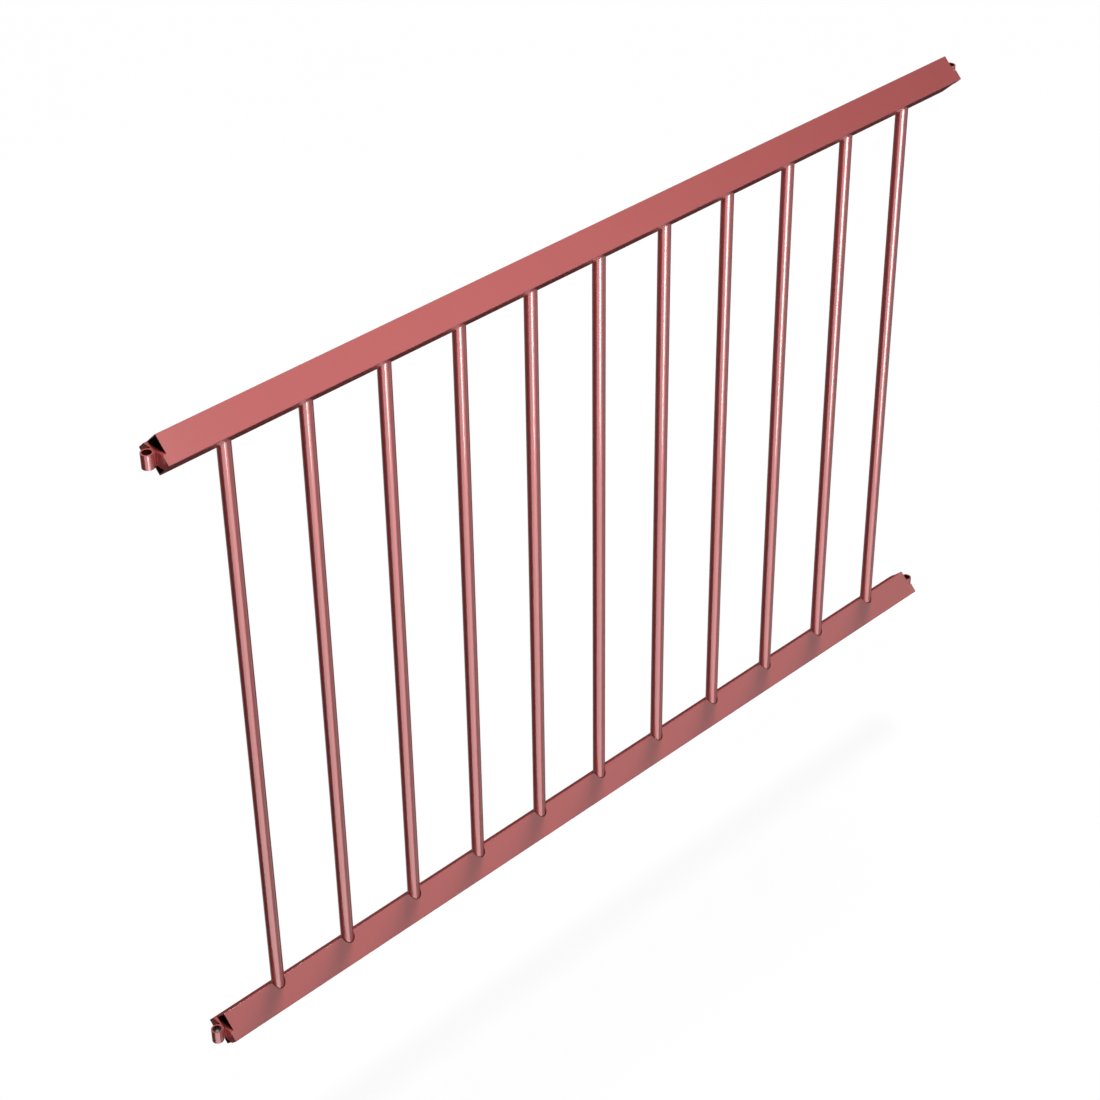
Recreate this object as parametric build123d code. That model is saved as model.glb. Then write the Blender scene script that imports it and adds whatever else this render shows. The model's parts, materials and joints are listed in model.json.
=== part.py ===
from build123d import *
import os

os.makedirs("parts", exist_ok=True)

# Bar railing panel: two square-tube rails turned on edge, a row of round tube bars between them,
# and on each rail end a welded plate that carries an eye for a post's pin.
# Frame: +X along the rails, +Y to the back, +Z up. The origin is on the pin axis of the lower
# left eye, at its underside. All sizes are in millimetres.

# Bars
BAR_COUNT = 11
BAR_PITCH = 122.5
BAR_DIAMETER = 18.0
BAR_WALL = 1.5
BAR_SEAT_CLEARANCE = 0.2  # between a bar's end and the two inner faces of the rail that it stands on
BAR_HOLE_CLEARANCE = 1.0  # radial gap between a bar and its hole in the rail

# Rails
RAIL_SIDE = 40.0
RAIL_WALL = 1.5
RAIL_CORNER_RADIUS = 1.0
RAIL_SPACING = 918.0  # from the lower rail's axis to the upper rail's axis
RAIL_OVERHANG = 91.5  # from the outermost bar's axis to the end of the tube

# End plates, flush with the tube's four faces and cropped above and below
PLATE_THICKNESS = 5.0
PLATE_HEIGHT = 20.0

# Pin eyes
EYE_DIAMETER = 16.0
EYE_BORE = 12.0
EYE_LENGTH = 20.0
EYE_STANDOFF = 0.8  # root of the weld between the eye and its plate
EYE_FOOT_WIDTH = 9.0  # width of the weld metal on the plate

# Places that follow from those sizes
RAIL_LENGTH = (BAR_COUNT - 1) * BAR_PITCH + 2 * RAIL_OVERHANG
EYE_TO_PLATE = EYE_DIAMETER / 2 + EYE_STANDOFF
RAIL_LEFT = EYE_TO_PLATE + PLATE_THICKNESS
RAIL_RIGHT = RAIL_LEFT + RAIL_LENGTH
LOWER_AXIS = EYE_LENGTH / 2
UPPER_AXIS = LOWER_AXIS + RAIL_SPACING
INNER_RIDGE = (RAIL_SIDE / 2 - RAIL_WALL) * 2**0.5  # from a rail's axis to the corner inside it
BAR_REACH = INNER_RIDGE - BAR_DIAMETER / 2 - BAR_SEAT_CLEARANCE * 2**0.5  # past a rail's axis
BAR_PLACES = [RAIL_LEFT + RAIL_OVERHANG + i * BAR_PITCH for i in range(BAR_COUNT)]

LEVELS = {"bottom": LOWER_AXIS, "top": UPPER_AXIS}
ENDS = {"left": (RAIL_LEFT, -1), "right": (RAIL_RIGHT, 1)}


def rail_outline():
    """The tube's outer section: a rounded square standing on its corner."""
    return RectangleRounded(RAIL_SIDE, RAIL_SIDE, RAIL_CORNER_RADIUS, rotation=45)


def rail(level):
    """One square tube with a hole for each bar through the ridge that faces the other rail."""
    inner_side = RAIL_SIDE - 2 * RAIL_WALL
    section = rail_outline() - Rectangle(inner_side, inner_side, rotation=45)
    tube = Pos(RAIL_LEFT, 0, LEVELS[level]) * extrude(Plane.YZ * section, amount=RAIL_LENGTH)
    facing = Align.MIN if level == "bottom" else Align.MAX
    hole = Cylinder(
        BAR_DIAMETER / 2 + BAR_HOLE_CLEARANCE, RAIL_SIDE, align=(Align.CENTER, Align.CENTER, facing)
    )
    return tube - [Pos(x, 0, LEVELS[level]) * hole for x in BAR_PLACES]


def bar(x):
    """One round tube that stands on the inside of the lower rail and ends under that of the upper rail."""
    start = LOWER_AXIS - BAR_REACH
    length = RAIL_SPACING + 2 * BAR_REACH
    section = Circle(BAR_DIAMETER / 2) - Circle(BAR_DIAMETER / 2 - BAR_WALL)
    return Pos(x, 0, start) * extrude(section, amount=length)


def end_plate(level, end):
    """The plate on one tube end, with the tube's section cropped to the plate's height."""
    x, outward = ENDS[end]
    section = rail_outline() & Rectangle(2 * RAIL_SIDE, PLATE_HEIGHT)
    return Pos(x, 0, LEVELS[level]) * extrude(Plane.YZ * section, amount=outward * PLATE_THICKNESS)


def eye(level, end):
    """A short upright tube for a pin, with the weld metal that seats it on its plate."""
    x, outward = ENDS[end]
    axis_x = x + outward * (PLATE_THICKNESS + EYE_TO_PLATE)
    foot = Pos(-outward * EYE_TO_PLATE / 2, 0) * Rectangle(EYE_TO_PLATE, EYE_FOOT_WIDTH)
    section = Circle(EYE_DIAMETER / 2) + foot - Circle(EYE_BORE / 2)
    return Pos(axis_x, 0, LEVELS[level]) * extrude(section, amount=EYE_LENGTH / 2, both=True)


nodes = {f"{level}_rail": rail(level) for level in LEVELS}
for number, place in enumerate(BAR_PLACES, start=1):
    nodes[f"bar_{number:02d}"] = bar(place)
for level in LEVELS:
    for end in ENDS:
        nodes[f"end_plate_{level}_{end}"] = end_plate(level, end)
        nodes[f"eye_{level}_{end}"] = eye(level, end)

for name, shape in nodes.items():
    export_step(shape, f"parts/{name}.step")
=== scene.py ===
"""Looks for the bar railing panel: powder coat on tubes, plates and eyes, weld beads, light and camera."""

import json
import math

import bpy
import numpy as np
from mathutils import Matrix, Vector


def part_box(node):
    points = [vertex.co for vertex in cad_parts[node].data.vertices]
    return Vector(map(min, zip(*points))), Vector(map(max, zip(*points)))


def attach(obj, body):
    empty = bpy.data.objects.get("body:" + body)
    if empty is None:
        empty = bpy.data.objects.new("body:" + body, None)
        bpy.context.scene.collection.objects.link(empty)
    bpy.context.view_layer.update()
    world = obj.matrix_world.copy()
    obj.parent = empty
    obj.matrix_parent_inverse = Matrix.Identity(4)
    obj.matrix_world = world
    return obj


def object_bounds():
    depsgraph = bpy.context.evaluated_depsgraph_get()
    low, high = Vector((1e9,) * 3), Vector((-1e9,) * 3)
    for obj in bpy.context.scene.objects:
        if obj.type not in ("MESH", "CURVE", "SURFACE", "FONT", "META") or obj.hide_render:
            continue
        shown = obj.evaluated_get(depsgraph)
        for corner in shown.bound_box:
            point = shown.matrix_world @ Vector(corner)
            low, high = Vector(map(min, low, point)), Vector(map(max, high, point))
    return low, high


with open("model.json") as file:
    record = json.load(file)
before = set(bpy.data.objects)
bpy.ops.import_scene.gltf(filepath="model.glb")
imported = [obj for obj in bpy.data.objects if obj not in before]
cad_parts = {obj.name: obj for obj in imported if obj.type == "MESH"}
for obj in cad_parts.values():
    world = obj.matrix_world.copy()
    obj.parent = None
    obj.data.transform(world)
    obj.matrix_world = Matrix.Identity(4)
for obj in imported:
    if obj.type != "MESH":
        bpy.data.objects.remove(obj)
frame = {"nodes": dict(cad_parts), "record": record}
nodes = frame["nodes"]
cad_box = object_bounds()


# Places read from the frame, in metres

def middle(node):
    """Centre of a node's box."""
    low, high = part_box(node)
    return (Vector(low) + Vector(high)) / 2


def span(node):
    """Size of a node's box along each axis."""
    low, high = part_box(node)
    return Vector(high) - Vector(low)


LEVELS = ("bottom", "top")
ENDS = {"left": -1, "right": 1}  # the way outward along the rails
PANEL_CENTRE = (cad_box[0] + cad_box[1]) / 2

BARS = sorted(name for name in nodes if name.startswith("bar_"))
FIRST_BAR = middle(BARS[0]).x
BAR_PITCH = middle(BARS[1]).x - FIRST_BAR
BAR_CLEARANCE = 0.001  # gap between a bar and its hole in a rail
BAR_HOLE = span(BARS[0]).x / 2 + BAR_CLEARANCE  # radius of the holes that the bars go through

RAIL_AXIS = {level: middle(f"{level}_rail").z for level in LEVELS}
RAIL_SPACING = RAIL_AXIS["top"] - RAIL_AXIS["bottom"]
MID_HEIGHT = (RAIL_AXIS["top"] + RAIL_AXIS["bottom"]) / 2
RAIL_ROUNDING = 0.001  # corner radius of the square tube
SHARP_RIDGE = span("bottom_rail").z / 2 + RAIL_ROUNDING * (math.sqrt(2) - 1)  # axis to unrounded corner

EYE_REACH = abs(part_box("eye_top_left")[0][0] - PANEL_CENTRE.x) - span("eye_top_left").y / 2
EYE_BORE = 0.006  # radius of the hole for the pin
EYE_FOOT = 0.0045  # half the width of the weld metal under an eye


# Weld beads beside the eyes

EYE_WELD = 0.0008  # radius of a bead
WELD_ASIDE = 0.35  # from the foot's side to a bead's middle, as a share of its radius
WELD_OUT = 0.45  # from the plate's face to a bead's middle, as a share of its radius
WELD_RIPPLE_PITCH = 0.0019  # spacing of the ripples along a bead
WELD_RIPPLE = 0.05  # ripple height, as a share of the radius
WELD_WANDER = 0.08  # slow change of the radius, as a share of it
WELD_STARTS = np.array([[0.4], [2.9]])  # where the wander of each bead starts, in radians
WELD_TIP = 0.15  # radius at a bead's two ends, as a share of it
WELD_STEPS = 61
RING_POINTS = 14


def skin(name, rings):
    """Surface through rings[bead, step, point, xyz]: each quad joins two neighbours on a ring to the same
    two on the next ring, and the first and last ring of a bead are filled in."""
    beads, steps, points = rings.shape[:3]
    index = np.arange(beads * steps * points).reshape(beads, steps, points)
    beside = np.roll(index, -1, axis=2)
    quads = np.stack([index[:, :-1], beside[:, :-1], beside[:, 1:], index[:, 1:]], axis=-1)
    caps = np.concatenate([index[:, 0, ::-1], index[:, -1]])
    mesh = bpy.data.meshes.new(name)
    mesh.from_pydata(rings.reshape(-1, 3), [], quads.reshape(-1, 4).tolist() + caps.tolist())
    mesh.polygons.foreach_set("use_smooth", np.ones(len(mesh.polygons), dtype=bool))
    mesh.update()
    piece = bpy.data.objects.new(name, mesh)
    bpy.context.scene.collection.objects.link(piece)
    return piece


def eye_welds(level, end):
    """Two upright beads in the corners between an eye and its plate: circles stacked along the height. The
    radius has fine ripples and a slow wander of two and three waves, and it closes in at both ends as the
    root of one minus the eighth power of the height."""
    eye = f"eye_{level}_{end}"
    plate = f"end_plate_{level}_{end}"
    outward = ENDS[end]
    plate_face = middle(plate).x + outward * span(plate).x / 2
    height = span(eye).z - EYE_WELD / 2
    along = np.linspace(0, 1, WELD_STEPS)
    lift = 2 * along - 1
    ripple = np.cos(2 * np.pi * round(height / WELD_RIPPLE_PITCH) * along)
    wander = (np.sin(4 * np.pi * along + WELD_STARTS) + np.sin(6 * np.pi * along + 2 * WELD_STARTS)) / 2
    fullness = np.sqrt(np.clip(1 - lift**8, WELD_TIP**2, 1))
    radius = EYE_WELD * (1 + WELD_RIPPLE * ripple + WELD_WANDER * wander) * fullness
    side = np.array([-1, 1])[:, None, None] * (EYE_FOOT + EYE_WELD * WELD_ASIDE)
    angle = np.linspace(0, 2 * np.pi, RING_POINTS, endpoint=False)
    x = plate_face + outward * EYE_WELD * WELD_OUT + radius[:, :, None] * np.cos(angle)
    y = side + radius[:, :, None] * np.sin(angle)
    z = np.broadcast_to(middle(eye).z + (lift * height / 2)[:, None], y.shape)
    return skin(f"eye_welds_{level}_{end}", np.stack([x, y, z], axis=-1))


welds = [eye_welds(level, end) for level in LEVELS for end in ENDS]
for bead in welds:
    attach(bead, "root")


# Shader nodes

class Wire:
    """A shader socket that takes part in Python arithmetic. Each step adds a Math node."""

    def __init__(self, finish, socket):
        self.finish = finish
        self.socket = socket

    def step(self, operation, *values):
        return self.finish.node("ShaderNodeMath", {"operation": operation}, dict(enumerate(values)))

    def __add__(self, other):
        return self.step("ADD", self, other)

    def __sub__(self, other):
        return self.step("SUBTRACT", self, other)

    def __rsub__(self, other):
        return self.step("SUBTRACT", other, self)

    def __mul__(self, other):
        return self.step("MULTIPLY", self, other)

    def __abs__(self):
        return self.step("ABSOLUTE", self)

    def least(self, other):
        return self.step("MINIMUM", self, other)

    def most(self, other):
        return self.step("MAXIMUM", self, other)

    def root(self):
        return self.step("SQRT", self)

    def folded(self, pitch):
        """Distance from the nearest whole number of pitches, with its sign."""
        return self.step("WRAP", self, pitch / 2, -pitch / 2)

    __radd__ = __add__
    __rmul__ = __mul__


class Finish:
    """A material or a world under construction."""

    def __init__(self, block):
        self.block = block
        block.use_nodes = True
        self.tree = block.node_tree
        self.tree.nodes.clear()

    def node(self, kind, settings, sockets, output=0):
        """Adds a node of one type, sets it, fills its sockets with values or wires, and returns an output."""
        made = self.tree.nodes.new(kind)
        for name, value in settings.items():
            setattr(made, name, value)
        for key, value in sockets.items():
            if isinstance(value, Wire):
                self.tree.links.new(value.socket, made.inputs[key])
            else:
                made.inputs[key].default_value = value
        if made.outputs:
            return Wire(self, made.outputs[output])

    def place(self):
        """Object coordinates, in metres."""
        return self.node("ShaderNodeTexCoord", {}, {}, "Object")

    def axes(self, place):
        """The three coordinates as separate values."""
        split = self.node("ShaderNodeSeparateXYZ", {}, {0: place}).socket.node
        return [Wire(self, output) for output in split.outputs]

    def stretched(self, place, scale):
        """Coordinates stretched along the axes."""
        return self.node("ShaderNodeMapping", {}, {"Vector": place, "Scale": scale})

    def noise(self, place, scale, detail=2.0):
        """Noise from 0 to 1, with about scale lumps per metre."""
        return self.node("ShaderNodeTexNoise", {}, {"Vector": place, "Scale": scale, "Detail": detail})

    def ramp(self, value, start, end):
        """Smooth step from 0 at start to 1 at end."""
        settings = {"interpolation_type": "SMOOTHSTEP"}
        return self.node("ShaderNodeMapRange", settings, {"Value": value, "From Min": start, "From Max": end})

    def blend(self, share, first, second):
        """Colour that goes from first to second as share goes from 0 to 1."""
        return self.node("ShaderNodeMix", {"data_type": "RGBA"}, {0: share, 6: first, 7: second}, 2)

    def bump(self, height, depth):
        """Normal for a height from 0 to 1 that stands for depth metres."""
        return self.node("ShaderNodeBump", {}, {"Height": height, "Distance": depth})

    def surface(self, sockets):
        """Finishes the material with a Principled shader."""
        shader = self.node("ShaderNodeBsdfPrincipled", {}, sockets)
        self.node("ShaderNodeOutputMaterial", {}, {"Surface": shader})
        return self.block


# Powder coat

COAT_RED = (0.49, 0.080, 0.076, 1)
COAT_RED_DEEP = (0.45, 0.068, 0.065, 1)
COAT_RED_THIN = (0.55, 0.120, 0.112, 1)
# overspray colour, made near-black as painted shade inside the tubes and the eye bores
OVERSPRAY_AND_SHADE = (0.085, 0.012, 0.011, 1)
COAT_SPECULAR = 0.05
SATIN = 0.40  # roughness of the coat on rails and plates
SMOOTH = 0.33  # roughness of the coat on bars and eyes
MATTE = 0.5  # roughness of the coat on weld beads
ROUGHNESS_DRIFT = 0.08  # change of roughness from place to place
CORNER_ROUGHNESS = 0.05  # rise of roughness on a rail's corners
COLOUR_PATCHES = {"rail": 7.0, "bar": 9.0, "plate": 60.0, "eye": 70.0, "weld": 90.0}  # per metre
PEEL_SCALE = 620.0  # lumps of orange peel per metre
PEEL_DETAIL = 1.0
PEEL_DEPTH = 0.000006

RAIL_CORNER = (0.93, 0.985)  # where the coat thins towards a corner, as shares of the half diagonal
RAIL_INSIDE = (0.95, 0.97)  # where the tube's wall turns from its outside to its inside, as such shares
RIM_WIDTH = 0.0012  # width of the thin coat around a bar hole
RIM_HEIGHT = (-0.012, -0.010)  # the holes lie below this, from the rail's axis
THIN_SHARE = 0.5  # how far the coat thins on corners and rims
THIN_PATCHES = 45.0  # patches of thin coat per metre
THIN_PATCH_DETAIL = 3.0
THIN_PATCH_EDGE = (0.35, 0.7)  # noise levels between which such a patch fades in
RAIL_LINES = (3.0, 240.0, 240.0)  # rolling lines per metre along each axis
BAR_LINES = (330.0, 330.0, 4.0)  # drawing lines per metre along each axis
LINE_SCALE = 1.0  # noise lumps per line
BAR_LINE_SHARE = 0.25  # how far the coat thins along a bar's lines
PLATE_SHADE_BAND = (0.005, 0.017)  # where painted shade beside an eye fades out, from the middle plane
PLATE_SHADE_SHARE = 0.5  # how far the painted shade beside an eye deepens the colour
BORE_WALL = (1.01, 1.04)  # where an eye's wall starts, as shares of the bore's radius


def new_paint(name):
    """An empty material."""
    return Finish(bpy.data.materials.new(name))


def coat(finish, place, colour, roughness, lumps, gloss_roughness, metal_share, gloss=1.0):
    """Enamel: the given colour and roughness, an orange peel of about a millimetre, and clear gloss on it."""
    peel = finish.noise(place, PEEL_SCALE, PEEL_DETAIL)
    return finish.surface(
        {
            "Base Color": colour,
            "Roughness": roughness,
            "Metallic": metal_share,
            "Specular IOR Level": COAT_SPECULAR,
            "Coat Weight": gloss,
            "Coat Roughness": gloss_roughness,
            "Normal": finish.bump(peel + lumps, PEEL_DEPTH),
        }
    )


def rail_paint():
    """Satin coat on the square tubes, thinner and paler along the rounded corners and around the bar holes,
    with overspray inside, painted near-black as shade."""
    finish = new_paint("rail_paint")
    place = finish.place()
    along, depth, height = finish.axes(place)
    drift = finish.noise(place, COLOUR_PATCHES["rail"])
    outward = abs(height - MID_HEIGHT) - RAIL_SPACING / 2
    rising = abs(depth + outward)
    falling = abs(depth - outward)
    corner = finish.ramp(rising.least(falling), *(share * SHARP_RIDGE for share in RAIL_CORNER))
    inside = 1 - finish.ramp(rising.most(falling), *(share * SHARP_RIDGE for share in RAIL_INSIDE))
    beside = (along - FIRST_BAR).folded(BAR_PITCH)
    off_bar = (beside * beside + depth * depth).root()
    facing = 1 - finish.ramp(outward, *RIM_HEIGHT)
    rim = facing * (1 - finish.ramp(off_bar, BAR_HOLE, BAR_HOLE + RIM_WIDTH))
    patchy = finish.ramp(finish.noise(place, THIN_PATCHES, THIN_PATCH_DETAIL), *THIN_PATCH_EDGE)
    drawn = finish.noise(finish.stretched(place, RAIL_LINES), LINE_SCALE)
    colour = finish.blend(drift, COAT_RED_DEEP, COAT_RED)
    colour = finish.blend(corner.most(rim) * patchy * THIN_SHARE, colour, COAT_RED_THIN)
    # painted shade: the tube's inner wall gets the near-black overspray colour
    colour = finish.blend(inside, colour, OVERSPRAY_AND_SHADE)
    roughness = SATIN + ROUGHNESS_DRIFT * drift + CORNER_ROUGHNESS * corner
    return coat(finish, place, colour, roughness, lumps=drawn * 0.5, gloss_roughness=0.2, metal_share=0.06)


def bar_paint():
    """Glossier coat on the round tubes, with faint lengthwise lines from drawing."""
    finish = new_paint("bar_paint")
    place = finish.place()
    drift = finish.noise(place, COLOUR_PATCHES["bar"])
    drawn = finish.noise(finish.stretched(place, BAR_LINES), LINE_SCALE)
    colour = finish.blend(drift, COAT_RED_DEEP, COAT_RED)
    colour = finish.blend(drawn * BAR_LINE_SHARE, colour, COAT_RED_THIN)
    roughness = SMOOTH + ROUGHNESS_DRIFT * drift
    return coat(finish, place, colour, roughness, lumps=drawn * 0.4, gloss_roughness=0.05, metal_share=0.085)


def plate_paint():
    """Coat on the cut plates, deeper in colour towards the eye as painted shade from the eye."""
    finish = new_paint("plate_paint")
    place = finish.place()
    _, depth, _ = finish.axes(place)
    drift = finish.noise(place, COLOUR_PATCHES["plate"])
    # painted shade: the plate's colour deepens towards the eye, where the eye shades it
    eye_shade = 1 - finish.ramp(abs(depth), *PLATE_SHADE_BAND)
    colour = finish.blend(drift, COAT_RED_DEEP, COAT_RED)
    colour = finish.blend(eye_shade * PLATE_SHADE_SHARE, colour, COAT_RED_DEEP)
    roughness = SATIN + ROUGHNESS_DRIFT * drift
    return coat(finish, place, colour, roughness, lumps=drift, gloss_roughness=0.12, metal_share=0.06)


def eye_paint():
    """Coat on the eyes, with overspray in their bores, painted near-black as shade."""
    finish = new_paint("eye_paint")
    place = finish.place()
    along, depth, _ = finish.axes(place)
    drift = finish.noise(place, COLOUR_PATCHES["eye"])
    from_axis = abs(along - PANEL_CENTRE.x) - EYE_REACH
    off_axis = (from_axis * from_axis + depth * depth).root()
    inside = 1 - finish.ramp(off_axis, *(share * EYE_BORE for share in BORE_WALL))
    colour = finish.blend(drift, COAT_RED_DEEP, COAT_RED)
    # painted shade: the bore's wall gets the near-black overspray colour
    colour = finish.blend(inside, colour, OVERSPRAY_AND_SHADE)
    roughness = SMOOTH + ROUGHNESS_DRIFT * drift
    return coat(finish, place, colour, roughness, lumps=drift * 0.3, gloss_roughness=0.12, metal_share=0.085)


def weld_paint():
    """Matte coat on the weld beads, deeper in colour in random patches."""
    finish = new_paint("weld_paint")
    place = finish.place()
    drift = finish.noise(place, COLOUR_PATCHES["weld"])
    colour = finish.blend(drift, COAT_RED_DEEP, COAT_RED)
    roughness = MATTE + ROUGHNESS_DRIFT * drift
    lumps = drift * 0.3
    return coat(finish, place, colour, roughness, lumps, gloss_roughness=0.4, metal_share=0.0, gloss=0.0)


PAINTS = {
    "rail_paint": rail_paint(),
    "bar_paint": bar_paint(),
    "plate_paint": plate_paint(),
    "eye_paint": eye_paint(),
}
WELD_PAINT = weld_paint()
SLOT_OF = {subpart["node"]: subpart["material_slot"] for subpart in frame["record"]["subparts"]}


def give_paint(piece, paint):
    """The piece's only material."""
    piece.data.materials.clear()
    piece.data.materials.append(paint)


for name, node in nodes.items():
    give_paint(node, PAINTS[SLOT_OF[name]])
for bead in welds:
    give_paint(bead, WELD_PAINT)


# Floor

FLOOR_DROP = 0.2  # from the lower rail's underside to the floor
FLOOR_REACH = 15.0
FLOOR_TONES = ((0.080, 0.080, 0.080, 1), (0.085, 0.085, 0.085, 1))
FLOOR_PATCHES = 2.0  # patches of tone per metre
FLOOR_ROUGHNESS = 0.9
FLOOR_GLOW = 0.94
WHITE = (1, 1, 1, 1)


def floor():
    """A plain white floor under the panel. Only the camera sees it, with the panel's shadow on it."""
    finish = new_paint("floor_white")
    tone = finish.blend(finish.noise(finish.place(), FLOOR_PATCHES), *FLOOR_TONES)
    paint = finish.surface(
        {
            "Base Color": tone,
            "Roughness": FLOOR_ROUGHNESS,
            "Specular IOR Level": 0.0,
            "Emission Color": WHITE,
            "Emission Strength": FLOOR_GLOW,
        }
    )
    corners = np.array([[-1, -1], [1, -1], [1, 1], [-1, 1]]) * FLOOR_REACH
    points = np.column_stack([corners + np.array(PANEL_CENTRE[:2]), np.full(4, cad_box[0].z - FLOOR_DROP)])
    mesh = bpy.data.meshes.new("floor")
    mesh.from_pydata(points, [], [(0, 1, 2, 3)])
    ground = bpy.data.objects.new("floor", mesh)
    bpy.context.scene.collection.objects.link(ground)
    give_paint(ground, paint)
    ground.visible_diffuse = False
    ground.visible_glossy = False
    ground.visible_shadow = False


# Light

SKY_LEVEL = 0.03
GLOSS_SKY_LEVEL = 0.6
GROUND_LEVEL = 0.02
HORIZON_BLUR = 0.25
SOFTBOX_AIM = Vector((0.8, 0, 0.7))


def surround():
    """A world that is white to the camera, pale above the horizon in reflections, and dim for other light."""
    world = Finish(bpy.data.worlds.new("surround"))
    bpy.context.scene.world = world.block
    _, _, height = world.axes(world.node("ShaderNodeTexCoord", {}, {}, "Generated"))
    sky = world.ramp(height, -HORIZON_BLUR, HORIZON_BLUR)
    seen = world.node("ShaderNodeLightPath", {}, {}, "Is Camera Ray")
    mirrored = world.node("ShaderNodeLightPath", {}, {}, "Is Glossy Ray")
    through = world.node("ShaderNodeLightPath", {}, {}, "Is Transmission Ray")
    level = SKY_LEVEL + (GLOSS_SKY_LEVEL - SKY_LEVEL) * mirrored.most(through)
    strength = seen.most(GROUND_LEVEL + sky * (level - GROUND_LEVEL))
    glow = world.node("ShaderNodeBackground", {}, {"Color": WHITE, "Strength": strength})
    world.node("ShaderNodeOutputWorld", {}, {"Surface": glow})


def heading(azimuth, elevation):
    """Unit vector towards a compass angle from +X, in degrees, and a height above the horizon."""
    turn = math.radians(azimuth)
    rise = math.radians(elevation)
    return Vector((math.cos(turn) * math.cos(rise), math.sin(turn) * math.cos(rise), math.sin(rise)))


def hang(name, lamp, towards_lamp):
    """A light object whose back looks along towards_lamp."""
    holder = bpy.data.objects.new(name, lamp)
    holder.rotation_euler = towards_lamp.to_track_quat("Z", "Y").to_euler()
    bpy.context.scene.collection.objects.link(holder)
    return holder


def far_lamp(name, azimuth, elevation, spread, strength, matte=True, gloss=True):
    """A distant round light of the given spread in degrees, for the matte paint, the gloss on it, or both."""
    lamp = bpy.data.lights.new(name, "SUN")
    lamp.angle = math.radians(spread)
    lamp.energy = strength
    holder = hang(name, lamp, heading(azimuth, elevation))
    holder.visible_diffuse = matte
    holder.visible_glossy = gloss


def near_lamp(name, place, size, power):
    """A round softbox at a place in metres, turned towards the upper middle of the panel."""
    lamp = bpy.data.lights.new(name, "AREA")
    lamp.shape = "DISK"
    lamp.size = size
    lamp.energy = power
    holder = hang(name, lamp, Vector(place) - SOFTBOX_AIM)
    holder.location = place
    holder.visible_camera = False


def lamps():
    """A key from behind on the right, a softbox near the upper left, three soft fills, and five reflectors
    that only the gloss shows."""
    far_lamp("key", azimuth=32, elevation=70, spread=12, strength=2.1)
    near_lamp("left_softbox", place=(0.30, -0.8, 1.85), size=0.5, power=7.6)
    far_lamp("left_fill", azimuth=195, elevation=0, spread=40, strength=0.53, gloss=False)
    far_lamp("front_fill", azimuth=276, elevation=-19, spread=40, strength=0.42)
    far_lamp("back_fill", azimuth=62, elevation=-42, spread=40, strength=0.9, gloss=False)
    far_lamp("front_gleam", azimuth=304, elevation=31, spread=36, strength=0.49, matte=False)
    far_lamp("low_gleam", azimuth=232, elevation=-35, spread=72, strength=4.2, matte=False)
    far_lamp("low_side", azimuth=316, elevation=-35, spread=56, strength=0.68, matte=False)
    far_lamp("low_streak", azimuth=246, elevation=-18.6, spread=30, strength=4.2, matte=False)
    far_lamp("back_gleam", azimuth=97, elevation=-35, spread=40, strength=0.12, matte=False)


# The photograph's frame and the camera found from it

FRAME_SIZE = 1100
FOCAL_PIXELS = 2563.797
PRINCIPAL_X = 598.92
PRINCIPAL_Y = 532.43
CAMERA_REACH = 2.05668  # along each axis, from the panel's centre
CAMERA_PITCH = math.asin(1 / math.sqrt(3))
CAMERA_TURN = math.radians(-45)


def camera():
    """A camera on the cube's diagonal through the panel's centre, from the front, left and above."""
    lens = bpy.data.cameras.new("camera")
    lens.lens = FOCAL_PIXELS / FRAME_SIZE * lens.sensor_width
    lens.shift_x = (FRAME_SIZE / 2 - PRINCIPAL_X) / FRAME_SIZE
    lens.shift_y = (PRINCIPAL_Y - FRAME_SIZE / 2) / FRAME_SIZE
    holder = bpy.data.objects.new("camera", lens)
    holder.location = PANEL_CENTRE + CAMERA_REACH * Vector((-1, -1, 1))
    holder.rotation_euler = (math.pi / 2 - CAMERA_PITCH, 0, CAMERA_TURN)
    bpy.context.scene.collection.objects.link(holder)
    bpy.context.scene.camera = holder


floor()
surround()
lamps()
camera()
bpy.context.scene.view_settings.view_transform = "Standard"
